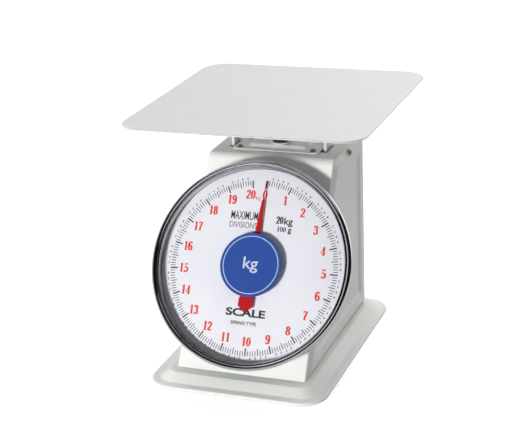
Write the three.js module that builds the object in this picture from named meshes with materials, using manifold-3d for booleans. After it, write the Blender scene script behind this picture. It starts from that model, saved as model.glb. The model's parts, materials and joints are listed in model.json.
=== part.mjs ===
// Mechanical dial platform scale: a wedge-shaped spring scale with an inclined round dial and a square steel platform.
// Millimetres, +Z up, -Y towards the reader of the dial. The origin is the centre of the bounding box on the floor.
import * as THREE from "three";
import { mergeVertices } from "three/addons/utils/BufferGeometryUtils.js";
import Module from "manifold-3d";

const wasm = await Module();
wasm.setup();

// ---------------------------------------------------------------- driving dimensions
const GAP = 0.3; // between pieces that touch
const SHEET = 1.2;

const PLATFORM = { size: 240, cornerR: 24, top: 242.8, thick: 2, y: 22.7 };
const BASE = { halfX: 88.7, front: -142.7, back: 100.9, cornerR: 25, lipBottom: 0.3, top: 10 };
const BODY = { halfX: 65, footFront: -114, footZ: BASE.top + GAP, top: 193.3, back: 84.3, overhang: 7.6, bendR: 12 };
const FACE_LEAN_DEG = 30.4; // front face, measured from the vertical
const FLANGE = 2.6; // width of the front sheet's fold round each side

const DIAL = { y: -67.7, z: 101.2, aboveFace: 6.15 }; // where the pointer shaft meets the dial
const BEZEL = { outerR: 100.9, lipR: 93.6, rollZ: 8.6 };
const LENS = { r: 95.4, bottom: 7.6, thick: 2 };
const CASE = { r: 95.8, wallTop: 7.3, rise: 1.5 }; // its axis is this far up the face from the shaft
const DISC = { r: 30.8, bottom: 6.7, thick: 0.6 };
const DIAL_SPAN_DEG = 350; // from the zero mark to the full-load mark
const DIAL_TURN_DEG = 2.8; // the printed dial sits turned anticlockwise by this much
const POINTER = { tip: 84, tail: 44, bottom: 2.6, thick: 0.6 };

const LOAD_Y = 26; // axis of the load carriage, springs and zero knob
const POST = { x: 48, thick: 3, halfY: 8 };
const MODULE = 0.5; // rack and pinion
const PINION_TEETH = 12;
const RACK_Z = -26; // middle plane of the rack, behind the dial plane
const RACK_PIN_Z = 126; // height of the rack pin with no load
const BEAM = { bottom: 122, top: 132, halfX: POST.x - POST.thick / 2 - GAP };
const SPRING = { x: 24, coilR: 7, wireR: 0.9, turns: 8, top: 171, bottom: 143 };
const BRIDGE = { bottom: 177, top: 183, halfX: 32, halfY: 5 };
const LINK = { length: 50, rearY: 76, upperZ: 108, lowerZ: 44, halfH: 4, x: 22, thick: 3, pinR: 2 };

// ---------------------------------------------------------------- worked out from them
const RAD = Math.PI / 180;
const lean = FACE_LEAN_DEG * RAD;
const pitchR = (MODULE * PINION_TEETH) / 2;
const rackTravel = DIAL_SPAN_DEG * RAD * pitchR;
const loadTravel = rackTravel * Math.cos(lean);
const linkSwing = Math.asin(loadTravel / 2 / LINK.length);
const zeroMarkDeg = (360 - DIAL_SPAN_DEG) / 2 - DIAL_TURN_DEG;
const faceZ = -DIAL.aboveFace; // the front face in the dial's own frame
const plateBottom = PLATFORM.top - PLATFORM.thick;

// The dial's own frame: X right, Y up the inclined face, Z out towards the reader.
const dialFrame = new THREE.Matrix4()
  .makeTranslation(0, DIAL.y, DIAL.z)
  .multiply(new THREE.Matrix4().makeRotationX(Math.PI / 2 - lean));

// ---------------------------------------------------------------- solids
function toSolid(geometry) {
  const plain = geometry.index ? geometry.toNonIndexed() : geometry;
  const bare = new THREE.BufferGeometry();
  bare.setAttribute("position", plain.getAttribute("position"));
  const merged = mergeVertices(bare, 1e-4);
  const triVerts = new Uint32Array(merged.index.array);
  const vertProperties = merged.attributes.position.array;
  const made = new wasm.Manifold(new wasm.Mesh({ numProp: 3, vertProperties, triVerts }));
  if (made.volume() > 0) return made;
  const turned = triVerts.slice();
  for (let i = 0; i < turned.length; i += 3) {
    [turned[i + 1], turned[i + 2]] = [turned[i + 2], turned[i + 1]];
  }
  return new wasm.Manifold(new wasm.Mesh({ numProp: 3, vertProperties, triVerts: turned }));
}

function toGeometry(solid) {
  const mesh = solid.getMesh();
  const position = new Float32Array(mesh.numVert * 3);
  for (let i = 0; i < mesh.numVert; i++) {
    const from = i * mesh.numProp;
    position.set(mesh.vertProperties.subarray(from, from + 3), i * 3);
  }
  const geometry = new THREE.BufferGeometry();
  geometry.setAttribute("position", new THREE.BufferAttribute(position, 3));
  geometry.setIndex(new THREE.BufferAttribute(new Uint32Array(mesh.triVerts), 1));
  const shaded = geometry.toNonIndexed();
  shaded.computeVertexNormals();
  return shaded;
}

const join = (...solids) => solids.reduce((a, b) => a.add(b));
const cut = (solid, ...tools) => tools.reduce((a, b) => a.subtract(b), solid);

function box(x0, x1, y0, y1, z0, z1) {
  const geometry = new THREE.BoxGeometry(x1 - x0, y1 - y0, z1 - z0);
  return toSolid(geometry.translate((x0 + x1) / 2, (y0 + y1) / 2, (z0 + z1) / 2));
}

function rod(r, z0, z1, x = 0, y = 0, sides = 16) {
  const geometry = new THREE.CylinderGeometry(r, r, z1 - z0, sides).rotateX(Math.PI / 2);
  return toSolid(geometry.translate(x, y, (z0 + z1) / 2));
}

function rodAlongX(r, x0, x1, y, z, sides = 16) {
  const geometry = new THREE.CylinderGeometry(r, r, x1 - x0, sides).rotateZ(Math.PI / 2);
  return toSolid(geometry.translate((x0 + x1) / 2, y, z));
}

// A ring or disc turned about Z from a closed outline of [radius, z] points.
function turned(outline, sides) {
  const points = [...outline, outline[0]].map(([r, z]) => new THREE.Vector2(r, z));
  return toSolid(new THREE.LatheGeometry(points, sides).rotateX(Math.PI / 2));
}

// A flat plate of outline [x, y] between two heights.
function plate(outline, z0, z1) {
  const shape = new THREE.Shape(outline.map(([x, y]) => new THREE.Vector2(x, y)));
  const geometry = new THREE.ExtrudeGeometry(shape, { depth: z1 - z0, bevelEnabled: false });
  return toSolid(geometry.translate(0, 0, z0));
}

// A plate of outline [y, z] between two x positions.
function sidePlate(outline, x0, x1) {
  const shape = new THREE.Shape(outline.map(([y, z]) => new THREE.Vector2(y, z)));
  const geometry = new THREE.ExtrudeGeometry(shape, { depth: x1 - x0, bevelEnabled: false });
  const turn = new THREE.Matrix4().makeBasis(
    new THREE.Vector3(0, 1, 0),
    new THREE.Vector3(0, 0, 1),
    new THREE.Vector3(1, 0, 0),
  );
  return toSolid(geometry.applyMatrix4(turn).translate(x0, 0, 0));
}

// A closed skin through sections of equal point count, capped at both ends.
function loft(sections) {
  const count = sections[0].length;
  const triangles = [];
  for (let s = 0; s + 1 < sections.length; s++) {
    for (let i = 0; i < count; i++) {
      const j = (i + 1) % count;
      const [a, b] = [sections[s][i], sections[s][j]];
      const [c, d] = [sections[s + 1][i], sections[s + 1][j]];
      triangles.push(a, b, d, a, d, c);
    }
  }
  const last = sections[sections.length - 1];
  for (let i = 1; i + 1 < count; i++) {
    triangles.push(sections[0][0], sections[0][i + 1], sections[0][i]);
    triangles.push(last[0], last[i], last[i + 1]);
  }
  const geometry = new THREE.BufferGeometry();
  geometry.setAttribute("position", new THREE.Float32BufferAttribute(triangles.flat(), 3));
  return toSolid(geometry);
}

// A round wire along a list of points, with flat ends.
function wire(path, r, sides) {
  const across = new THREE.Vector3(0, 0, 1);
  const rings = path.map((point, i) => {
    const before = path[Math.max(i - 1, 0)];
    const after = path[Math.min(i + 1, path.length - 1)];
    const along = after.clone().sub(before).normalize();
    const radial = new THREE.Vector3(point.x, point.y, 0);
    if (radial.length() < 1e-6) radial.set(1, 0, 0);
    const side = across.clone().cross(radial).cross(along).normalize();
    const normal = along.clone().cross(side).normalize();
    return Array.from({ length: sides }, (_, k) => {
      const angle = (2 * Math.PI * k) / sides;
      const offset = side.clone().multiplyScalar(r * Math.cos(angle));
      return point.clone().add(offset.addScaledVector(normal, r * Math.sin(angle))).toArray();
    });
  });
  return loft(rings);
}

function roundedRect(x0, x1, y0, y1, r, z, steps = 5) {
  const corners = [
    [x1 - r, y0 + r, -90],
    [x1 - r, y1 - r, 0],
    [x0 + r, y1 - r, 90],
    [x0 + r, y0 + r, 180],
  ];
  return corners.flatMap(([cx, cy, start]) =>
    Array.from({ length: steps + 1 }, (_, k) => {
      const angle = (start + (90 * k) / steps) * RAD;
      return [cx + r * Math.cos(angle), cy + r * Math.sin(angle), z];
    }),
  );
}

function ringArc(cr, cz, r, fromDeg, toDeg, steps) {
  return Array.from({ length: steps + 1 }, (_, k) => {
    const angle = (fromDeg + ((toDeg - fromDeg) * k) / steps) * RAD;
    return [cr + r * Math.cos(angle), cz + r * Math.sin(angle)];
  });
}

// A cross-recessed pan head on a plain shank, head up, seated at z = 0.
function screw(headR, headH, shankR, shankL) {
  const outline = [
    [0, -shankL],
    [shankR, -shankL],
    [shankR, 0],
    [headR, 0],
    [headR, headH * 0.45],
    [headR * 0.62, headH],
    [0, headH],
  ];
  const body = turned(outline, 12);
  const arm = headR * 0.55;
  const floor = headH * 0.5;
  return cut(
    body,
    box(-arm, arm, -0.35, 0.35, floor, headH + 1),
    box(-0.35, 0.35, -arm, arm, floor, headH + 1),
  );
}

// ---------------------------------------------------------------- finishes and the group
const finish = (color, roughness, metalness) =>
  new THREE.MeshStandardMaterial({ color, roughness, metalness });
const enamel = finish(0xe9ebe5, 0.4, 0);
const stainless = finish(0xd9dadb, 0.35, 1);
const chrome = finish(0xe8eaee, 0.1, 1);
const zinc = finish(0xb9bcc0, 0.45, 1);
const brass = finish(0xb89a55, 0.4, 1);
const bronze = finish(0x8a6a48, 0.45, 1);
const black = finish(0x151515, 0.35, 0);
const rubber = finish(0x222222, 0.85, 0);
const white = finish(0xefedf4, 0.5, 0);
const blue = finish(0x2b4fa2, 0.4, 0);
const red = finish(0xc8232b, 0.45, 0);
const glass = finish(0xdfe8ee, 0.05, 0);
glass.transparent = true;
glass.opacity = 0.3;

const scale = new THREE.Group();
function add(name, solid, material) {
  const mesh = new THREE.Mesh(toGeometry(solid), material);
  mesh.name = name;
  scale.add(mesh);
}
const moved = (solid, x, y, z) => solid.translate([x, y, z]);
const onDial = (solid) => toSolid(toGeometry(solid).applyMatrix4(dialFrame));
const onCase = (solid) => onDial(moved(solid, 0, CASE.rise, 0));

// ---------------------------------------------------------------- base tray and feet
const TRAY_RIM = 8; // width of the flat rim
const TRAY_BEVEL_IN = 18; // from the outer edge to the top of the bevel
const TRAY_BACK_IN = 15;
function traySection(inset, backInset, r, z) {
  const { halfX, front, back } = BASE;
  return roundedRect(-halfX + inset, halfX - inset, front + inset, back - backInset, r, z);
}
const trayOuter = loft([
  traySection(0, 0, BASE.cornerR, BASE.lipBottom),
  traySection(0, 0, BASE.cornerR, 2.2),
  traySection(1, 1, BASE.cornerR - 1, 3.2),
  traySection(TRAY_RIM, TRAY_RIM, BASE.cornerR - TRAY_RIM, 3.6),
  traySection(TRAY_BEVEL_IN, TRAY_BACK_IN, 10, BASE.top),
]);
const trayInner = loft([
  traySection(SHEET, SHEET, BASE.cornerR - SHEET, -1),
  traySection(SHEET, SHEET, BASE.cornerR - SHEET, 2),
  traySection(TRAY_RIM + 0.6, TRAY_RIM + 0.6, BASE.cornerR - TRAY_RIM, 3.6 - SHEET),
  traySection(TRAY_BEVEL_IN + 0.6, TRAY_BACK_IN + 0.6, 9.4, BASE.top - SHEET),
]);
add("base_tray", cut(trayOuter, trayInner), enamel);

const FOOT = { r: 9, x: 55, front: -108, back: 68 };
const footTop = BASE.top - SHEET - GAP;
const footOutline = [
  [0, 0],
  [FOOT.r - 1, 0],
  [FOOT.r, 1],
  [FOOT.r, footTop],
  [0, footTop],
];
for (const [tag, x, y] of [
  ["front_left", -FOOT.x, FOOT.front],
  ["front_right", FOOT.x, FOOT.front],
  ["back_left", -FOOT.x, FOOT.back],
  ["back_right", FOOT.x, FOOT.back],
]) {
  add("foot_" + tag, moved(turned(footOutline, 20), x, y, 0), rubber);
}

// ---------------------------------------------------------------- body sheets
// The side view of the wedge, shrunk from the front by inset and from the other sides by their own.
function wedge(inset, backInset, footInset, topInset = inset, steps = 5) {
  const top = BODY.top - topInset;
  const foot = BODY.footZ + footInset;
  const backAt = (z) =>
    BODY.back - backInset + (BODY.overhang * (z - BODY.footZ)) / (BODY.top - BODY.footZ);
  const frontAt = (z) => BODY.footFront + (z - BODY.footZ) * Math.tan(lean) + inset / Math.cos(lean);
  const r = Math.max(BODY.bendR - inset, 1);
  const tangent = r * Math.tan((Math.PI / 2 - lean) / 2);
  const bendY = frontAt(top) + tangent;
  const arc = Array.from({ length: steps + 1 }, (_, k) => {
    const angle = Math.PI / 2 + ((Math.PI / 2 - lean) * k) / steps;
    return [bendY + r * Math.cos(angle), top - r + r * Math.sin(angle)];
  });
  return [[frontAt(foot), foot], [backAt(foot), foot], [backAt(top), top], ...arc];
}

const TOP_SCREWS = [
  ["front_left", -38, 11.7],
  ["front_right", 38, 11.7],
  ["back_left", -38, 41.7],
  ["back_right", 38, 41.7],
];
const SLOT = { x: 47.2, halfX: 3.8, halfY: 11.8 };
const ZERO_HOLE_R = 8;
const SHAFT_HOLE_R = 9;

const shell = cut(
  sidePlate(wedge(0, 0, 0), -BODY.halfX, BODY.halfX),
  sidePlate(wedge(SHEET, -5, -5), -BODY.halfX + SHEET, BODY.halfX - SHEET),
  sidePlate(wedge(FLANGE, -5, -5), -BODY.halfX - 5, BODY.halfX + 5),
  ...[-1, 1].map((side) =>
    box(
      side * SLOT.x - SLOT.halfX,
      side * SLOT.x + SLOT.halfX,
      LOAD_Y - SLOT.halfY,
      LOAD_Y + SLOT.halfY,
      BODY.top - 5,
      BODY.top + 5,
    ),
  ),
  rod(ZERO_HOLE_R, BODY.top - 5, BODY.top + 5, 0, LOAD_Y, 24),
  ...TOP_SCREWS.map(([, x, y]) => rod(1.9, BODY.top - 5, BODY.top + 5, x, y, 12)),
  onDial(rod(SHAFT_HOLE_R, faceZ - 6, faceZ + 6, 0, 0, 24)),
);
add("housing_shell", shell, enamel);

// Each side panel is a pressed pan. Its edge is tucked behind the fold of the front sheet, a step brings it
// out, a slope rises to a flat border, and the middle is sunk.
const PANEL = { edge: 62, step: 64.2, border: 66.6, middle: 64.6, seat: 66.4, slope: 3.2 };
const SIDE_SCREW = { y: 37.9, z: 187 };
function panelLine([front, backIn, foot, topIn], extra, x) {
  const outline = wedge(front + extra, backIn + extra, foot + extra, topIn + extra, 3);
  return outline.map(([y, z]) => [x, y, z]);
}
const stepLine = (extra, x) => panelLine([3.4, 3.5, 0.4, 3.4], extra, x);
const borderLine = (extra, x) => panelLine([10.5, 9, 4, 9], extra, x);
const middleLine = (extra, x) => panelLine([17.5, 19.5, 14.5, 16.7], extra, x);
const sinkRate = PANEL.slope / (PANEL.border - PANEL.middle);
const alongScrew = (r, x0, x1, sides) => rodAlongX(r, x0, x1, SIDE_SCREW.y, SIDE_SCREW.z, sides);
const panelPan = loft([
  stepLine(0, PANEL.edge - 0.5),
  stepLine(0, PANEL.step),
  borderLine(0, PANEL.border),
]);
const panelSink = loft([
  middleLine(PANEL.slope, PANEL.middle),
  middleLine(-0.5 * sinkRate, PANEL.border + 0.5),
]);
const panelHollow = cut(
  loft([stepLine(1, PANEL.edge - 2), stepLine(1, PANEL.step - 1), borderLine(0.6, PANEL.border - 1)]),
  loft([
    middleLine(PANEL.slope - 0.3, PANEL.middle - 1),
    middleLine(-0.5 * sinkRate - 0.3, PANEL.border - 0.5),
  ]),
  alongScrew(3.4, PANEL.edge, PANEL.border, 20),
);
const panelEdge = sidePlate(wedge(1.8, 0.2, 0, 1.8, 3), PANEL.edge - 1, PANEL.edge);
const panelRight = cut(
  join(panelEdge, panelPan, alongScrew(3.4, PANEL.step - 0.5, PANEL.seat, 20)),
  panelSink,
  panelHollow,
  alongScrew(1.6, PANEL.edge - 1, PANEL.border + 1, 12),
);
add("side_panel_right", panelRight, enamel);
add("side_panel_left", panelRight.mirror([1, 0, 0]), enamel);

function onSide(solid, side) {
  const turn = new THREE.Matrix4().makeRotationY((side * Math.PI) / 2);
  const at = new THREE.Matrix4().makeTranslation(
    side * (PANEL.seat + GAP),
    SIDE_SCREW.y,
    SIDE_SCREW.z,
  );
  return toSolid(toGeometry(solid).applyMatrix4(at.multiply(turn)));
}
add("side_screw_right", onSide(screw(3, 1.6, 1.3, 5), 1), bronze);
add("side_screw_left", onSide(screw(3, 1.6, 1.3, 5), -1), bronze);

const REAR = { halfX: PANEL.edge - 1 - GAP, foot: BODY.footZ + 0.4, top: BODY.top - SHEET - GAP };
const rearOut = BODY.back - 0.2;
const REAR_SCREWS = [
  ["low_left", -50, 24],
  ["low_right", 50, 24],
  ["high_left", -50, 178],
  ["high_right", 50, 178],
];
const onBack = (solid, x, z) =>
  toSolid(toGeometry(solid).rotateX(-Math.PI / 2).translate(x, rearOut + GAP, z));
add(
  "rear_cover",
  cut(
    box(-REAR.halfX, REAR.halfX, rearOut - SHEET, rearOut, REAR.foot, REAR.top),
    ...REAR_SCREWS.map(([, x, z]) => onBack(rod(1.6, -4, 4, 0, 0, 12), x, z)),
  ),
  enamel,
);
for (const [tag, x, z] of REAR_SCREWS) {
  add("rear_screw_" + tag, onBack(screw(3, 1.6, 1.3, 6), x, z), zinc);
}

// ---------------------------------------------------------------- mechanism plate on the top
const MECH = { halfX: 44.5, front: 5.7, back: 47.7, bottom: BODY.top + GAP };
const mechTop = MECH.bottom + SHEET;
const PLATEAU = { halfX: 31, front: 13.5, back: 39, rise: 3, slope: 3 };
function plateauSection(extra, z) {
  const p = PLATEAU;
  return roundedRect(-p.halfX + extra, p.halfX - extra, p.front + extra, p.back - extra, 2, z, 2);
}
add(
  "mechanism_plate",
  cut(
    join(
      loft([
        roundedRect(-MECH.halfX, MECH.halfX, MECH.front, MECH.back, 4, MECH.bottom, 3),
        roundedRect(-MECH.halfX, MECH.halfX, MECH.front, MECH.back, 4, mechTop, 3),
      ]),
      loft([
        plateauSection(0, mechTop - 0.2),
        plateauSection(0, mechTop),
        plateauSection(PLATEAU.slope, mechTop + PLATEAU.rise),
      ]),
    ),
    loft([
      plateauSection(0.8, MECH.bottom - 1),
      plateauSection(0.8, MECH.bottom),
      plateauSection(PLATEAU.slope + 0.8, MECH.bottom + PLATEAU.rise),
    ]),
    rod(3.4, mechTop, mechTop + 8, 0, LOAD_Y, 16),
    rod(1.5, mechTop, mechTop + 8, -14, LOAD_Y + 4, 8),
    rod(1.5, mechTop, mechTop + 8, 14, LOAD_Y + 4, 8),
    ...TOP_SCREWS.map(([, x, y]) => rod(1.9, MECH.bottom - 1, mechTop + 1, x, y, 12)),
  ),
  stainless,
);
for (const [tag, x, y] of TOP_SCREWS) {
  add("top_screw_" + tag, moved(screw(3.1, 1.9, 1.5, 6), x, y, mechTop + GAP), bronze);
}

// ---------------------------------------------------------------- zero adjuster and spring bridge
const washerBottom = mechTop + PLATEAU.rise + GAP;
const knobBottom = washerBottom + 1 + GAP;
const ring = (inner, outer, z0, z1) => [
  [inner, z0],
  [outer, z0],
  [outer, z1],
  [inner, z1],
];
add("zero_washer", moved(turned(ring(3.6, 10.5, 0, 1), 24), 0, LOAD_Y, washerBottom), zinc);
const knobOutline = [
  [0, 4.6],
  [3, 4.6],
  [3, 0],
  [8.5, 0],
  [8.5, 3],
  [7.6, 5],
  [5, 6.6],
  [0, 7],
];
add("zero_knob", moved(turned(knobOutline, 24), 0, LOAD_Y, knobBottom), black);
const screwOutline = [
  [0, BRIDGE.bottom - 7],
  [2.7, BRIDGE.bottom - 7],
  [2.7, MECH.bottom + 0.3],
  [6, MECH.bottom + 0.3],
  [6, mechTop + PLATEAU.rise - SHEET - GAP],
  [2.7, mechTop + PLATEAU.rise - SHEET - GAP],
  [2.7, knobBottom + 4.3],
  [0, knobBottom + 4.3],
];
add("zero_screw", moved(turned(screwOutline, 16), 0, LOAD_Y, 0), zinc);

const bridgeBar = box(
  -BRIDGE.halfX,
  BRIDGE.halfX,
  LOAD_Y - BRIDGE.halfY,
  LOAD_Y + BRIDGE.halfY,
  BRIDGE.bottom,
  BRIDGE.top,
);
const springHoleR = SPRING.wireR + GAP;
const springHoles = (z0, z1) =>
  [-1, 1].map((side) => rod(springHoleR, z0, z1, side * SPRING.x, LOAD_Y, 10));
add(
  "spring_bridge",
  cut(
    bridgeBar,
    rod(3, BRIDGE.bottom - 1, BRIDGE.top + 1, 0, LOAD_Y, 16),
    ...springHoles(BRIDGE.bottom - 1, BRIDGE.top + 1),
  ),
  zinc,
);

// An extension spring: a straight end on the axis, the coil, and the other straight end.
function springPath() {
  const stepsPerTurn = 12;
  const steps = SPRING.turns * stepsPerTurn;
  const path = [new THREE.Vector3(0, 0, BEAM.bottom + 1), new THREE.Vector3(0, 0, SPRING.bottom - 4)];
  for (let i = 0; i <= steps; i++) {
    const angle = (2 * Math.PI * i) / stepsPerTurn;
    const ease = Math.min(1, i / 4, (steps - i) / 4);
    const r = SPRING.coilR * Math.sin((ease * Math.PI) / 2);
    const z = SPRING.bottom + ((SPRING.top - SPRING.bottom) * i) / steps;
    path.push(new THREE.Vector3(r * Math.cos(angle), r * Math.sin(angle), z));
  }
  path.push(new THREE.Vector3(0, 0, BRIDGE.top - 1));
  return path;
}
const spring = wire(springPath(), SPRING.wireR, 5);
add("main_spring_left", moved(spring, -SPRING.x, LOAD_Y, 0), zinc);
add("main_spring_right", moved(spring, SPRING.x, LOAD_Y, 0), zinc);

// ---------------------------------------------------------------- load carriage
const BEAM_Y = [LOAD_Y - 6, LOAD_Y + 6];
add(
  "load_beam",
  cut(
    box(-BEAM.halfX, BEAM.halfX, BEAM_Y[0], BEAM_Y[1], BEAM.bottom, BEAM.top),
    ...springHoles(BEAM.bottom - 1, BEAM.top + 1),
  ),
  zinc,
);
const SPIDER = { bottom: 234.5, top: plateBottom - GAP, arm: 95, halfW: 10 };
for (const [tag, side] of [
  ["left", -1],
  ["right", 1],
]) {
  const half = POST.thick / 2;
  const post = box(
    side * POST.x - half,
    side * POST.x + half,
    LOAD_Y - POST.halfY,
    LOAD_Y + POST.halfY,
    BEAM.bottom - 4,
    SPIDER.bottom - GAP,
  );
  add("platform_post_" + tag, post, zinc);
}
const spiderBar = box(
  -SPIDER.arm,
  SPIDER.arm,
  LOAD_Y - SPIDER.halfW,
  LOAD_Y + SPIDER.halfW,
  SPIDER.bottom,
  SPIDER.top,
);
const spiderCross = box(
  -SPIDER.halfW,
  SPIDER.halfW,
  PLATFORM.y - SPIDER.arm,
  PLATFORM.y + SPIDER.arm,
  SPIDER.bottom,
  SPIDER.top,
);
add("platform_spider", join(spiderBar, spiderCross), zinc);

const half = PLATFORM.size / 2;
const platformSection = (inset, z) =>
  roundedRect(
    -half + inset,
    half - inset,
    PLATFORM.y - half + inset,
    PLATFORM.y + half - inset,
    PLATFORM.cornerR - inset,
    z,
    6,
  );
add(
  "weighing_platform",
  loft([
    platformSection(0.4, plateBottom),
    platformSection(0, plateBottom + 0.5),
    platformSection(0, PLATFORM.top - 0.5),
    platformSection(0.4, PLATFORM.top),
  ]),
  stainless,
);

const STEM = { halfX: 8, halfY: 5, bottom: 36 };
const linkZ = [
  ["upper", LINK.upperZ],
  ["lower", LINK.lowerZ],
];
const pinHoleR = LINK.pinR + GAP;
add(
  "load_stem",
  cut(
    box(
      -STEM.halfX,
      STEM.halfX,
      LOAD_Y - STEM.halfY,
      LOAD_Y + STEM.halfY,
      STEM.bottom,
      BEAM.bottom - GAP,
    ),
    ...linkZ.map(([, z]) => rodAlongX(pinHoleR, -STEM.halfX - 1, STEM.halfX + 1, LOAD_Y, z, 12)),
  ),
  zinc,
);

// ---------------------------------------------------------------- parallel links that keep the platform level
const frontSlack = LINK.length / Math.cos(linkSwing) - LINK.length;
const linkEnd = LINK.x + LINK.thick;
function link() {
  const bars = [-1, 1].map((side) => {
    const x0 = side > 0 ? LINK.x : -linkEnd;
    return box(x0, x0 + LINK.thick, -LINK.length - 6, 3.6, -LINK.halfH, LINK.halfH);
  });
  const web = box(-LINK.x - 1, LINK.x + 1, -30, -16, -1.5, 1.5);
  const slot = box(
    -linkEnd - 1,
    linkEnd + 1,
    -LINK.length - frontSlack - pinHoleR,
    -LINK.length + pinHoleR,
    -pinHoleR,
    pinHoleR,
  );
  const pivot = rodAlongX(pinHoleR, -linkEnd - 1, linkEnd + 1, 0, 0, 12);
  return cut(join(...bars, web), slot, pivot);
}
for (const [tag, z] of linkZ) {
  const rearZ = z - loadTravel / 2;
  const posed = toGeometry(link()).rotateX(-linkSwing).translate(0, LINK.rearY, rearZ);
  add(tag + "_link", toSolid(posed), zinc);
  const reach = linkEnd + 1.5;
  add(tag + "_link_front_pin", rodAlongX(LINK.pinR, -reach, reach, LOAD_Y, z, 12), brass);
  add(tag + "_link_rear_pin", rodAlongX(LINK.pinR, -reach - 5, reach + 5, LINK.rearY, rearZ, 12), brass);
}

const BRACKET = { x: linkEnd + 1.5, thick: 2, front: 66, back: 82, top: 118 };
const bracketEnd = BRACKET.x + BRACKET.thick;
const bracketFoot = BASE.top + GAP;
add(
  "link_bracket",
  cut(
    join(
      box(-bracketEnd, bracketEnd, BRACKET.front, BRACKET.back, bracketFoot, bracketFoot + 2),
      box(-bracketEnd, bracketEnd, BRACKET.back - 1.5, BRACKET.back, bracketFoot, BRACKET.top),
      box(BRACKET.x, bracketEnd, BRACKET.front, BRACKET.back, bracketFoot, BRACKET.top),
      box(-bracketEnd, -BRACKET.x, BRACKET.front, BRACKET.back, bracketFoot, BRACKET.top),
    ),
    ...linkZ.map(([, z]) =>
      rodAlongX(pinHoleR, -bracketEnd - 1, bracketEnd + 1, LINK.rearY, z - loadTravel / 2, 12),
    ),
  ),
  zinc,
);
const stopTop = STEM.bottom - loadTravel - GAP;
add("overload_stop", rod(6, BASE.top + GAP, stopTop, 0, LOAD_Y, 16), rubber);

// ---------------------------------------------------------------- rack, its arm, and the pinion shaft
const pitch = Math.PI * MODULE;
const halfTooth = pitch / 4 - 0.07; // leaves backlash
const addendum = 0.42;
const dedendum = 0.62;
const flank = Math.tan(20 * RAD);
const rackPinV = (RACK_PIN_Z - DIAL.z - RACK_Z * Math.sin(lean)) / Math.cos(lean);
const rackPinY = DIAL.y - RACK_Z * Math.cos(lean) + rackPinV * Math.sin(lean);
const RACK = { back: 7, halfT: 2.5, head: 4 };

function rackOutline() {
  const first = -3;
  const last = Math.ceil(rackTravel / pitch) + 2;
  const outline = [[RACK.back, (first - 0.5) * pitch]];
  for (let i = first; i <= last; i++) {
    const v = (i + 0.5) * pitch;
    const wide = halfTooth + dedendum * flank;
    const narrow = halfTooth - addendum * flank;
    outline.push([pitchR + dedendum, v - wide], [pitchR - addendum, v - narrow]);
    outline.push([pitchR - addendum, v + narrow], [pitchR + dedendum, v + wide]);
  }
  outline.splice(1, 0, [pitchR + dedendum, (first - 0.5) * pitch]);
  outline.push([pitchR + dedendum, rackPinV + RACK.head], [RACK.back, rackPinV + RACK.head]);
  return outline;
}
const rackMidX = (pitchR + dedendum + RACK.back) / 2;
const rackPinR = 1;
const rackBody = cut(
  plate(rackOutline(), RACK_Z - RACK.halfT, RACK_Z + RACK.halfT),
  toSolid(
    toGeometry(rodAlongX(rackPinR + 0.2, 0, 20, 0, 0, 10)).translate(0, rackPinV, RACK_Z),
  ),
);
add("rack", onDial(rackBody), brass);
const ARM = { x0: 8.5, x1: 10.5, front: rackPinY - 13, back: BEAM_Y[0] - GAP };
add(
  "rack_pin",
  rodAlongX(rackPinR, rackMidX, ARM.x1 + 1.5, rackPinY, RACK_PIN_Z, 10),
  zinc,
);
const pinSweep = loadTravel * Math.tan(lean);
const slotR = rackPinR + GAP;
add(
  "rack_arm",
  cut(
    join(
      box(ARM.x0, ARM.x1, ARM.front, ARM.back, BEAM.bottom, BEAM.bottom + 8),
      box(ARM.x0 - 6, ARM.x1 + 6, ARM.back - 2, ARM.back, BEAM.bottom, BEAM.top),
    ),
    box(
      ARM.x0 - 1,
      ARM.x1 + 1,
      rackPinY - pinSweep - slotR,
      rackPinY + slotR,
      RACK_PIN_Z - slotR,
      RACK_PIN_Z + slotR,
    ),
  ),
  zinc,
);

function pinionOutline() {
  return Array.from({ length: PINION_TEETH }, (_, i) => {
    const middle = (2 * Math.PI * i) / PINION_TEETH;
    const at = (r, halfWidth, side) => {
      const angle = middle + (side * halfWidth) / r;
      return [r * Math.cos(angle), r * Math.sin(angle)];
    };
    const foot = pitchR - dedendum;
    const tip = pitchR + addendum;
    return [
      at(foot, halfTooth + 0.1, -1),
      at(pitchR, halfTooth, -1),
      at(tip, halfTooth - 0.22, -1),
      at(tip, halfTooth - 0.22, 1),
      at(pitchR, halfTooth, 1),
      at(foot, halfTooth + 0.1, 1),
    ];
  }).flat();
}
const SHAFT = { r: 1.2, back: RACK_Z - 11, front: POINTER.bottom + POINTER.thick + 1.2 };
const shaft = join(
  rod(SHAFT.r, SHAFT.back, SHAFT.front, 0, 0, 16),
  plate(pinionOutline(), RACK_Z - 3.5, RACK_Z + 3.5),
);
add("pinion_shaft", onDial(shaft), brass);

// ---------------------------------------------------------------- movement frame behind the face
const MOVEMENT = {
  frontTop: faceZ - SHEET - GAP,
  rearTop: RACK_Z - 7,
  left: -16,
  right: 7,
  halfV: 11,
};
const bearingR = SHAFT.r + 0.1;
const m = MOVEMENT;
add(
  "movement_frame",
  onDial(
    cut(
      join(
        box(m.left, 16, -m.halfV, m.halfV, m.frontTop - 2, m.frontTop),
        box(m.left, 12, -m.halfV, m.halfV, m.rearTop - 2, m.rearTop),
        box(m.left, m.left + 2, -m.halfV, m.halfV, m.rearTop - 2, m.frontTop),
      ),
      rod(bearingR, m.rearTop - 4, m.frontTop + 2, 0, 0, 16),
    ),
  ),
  zinc,
);
add(
  "rack_guide",
  onDial(box(RACK.back + GAP, RACK.back + 3.2, -6, 6, m.rearTop + GAP, RACK_Z + 3.5)),
  brass,
);

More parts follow.
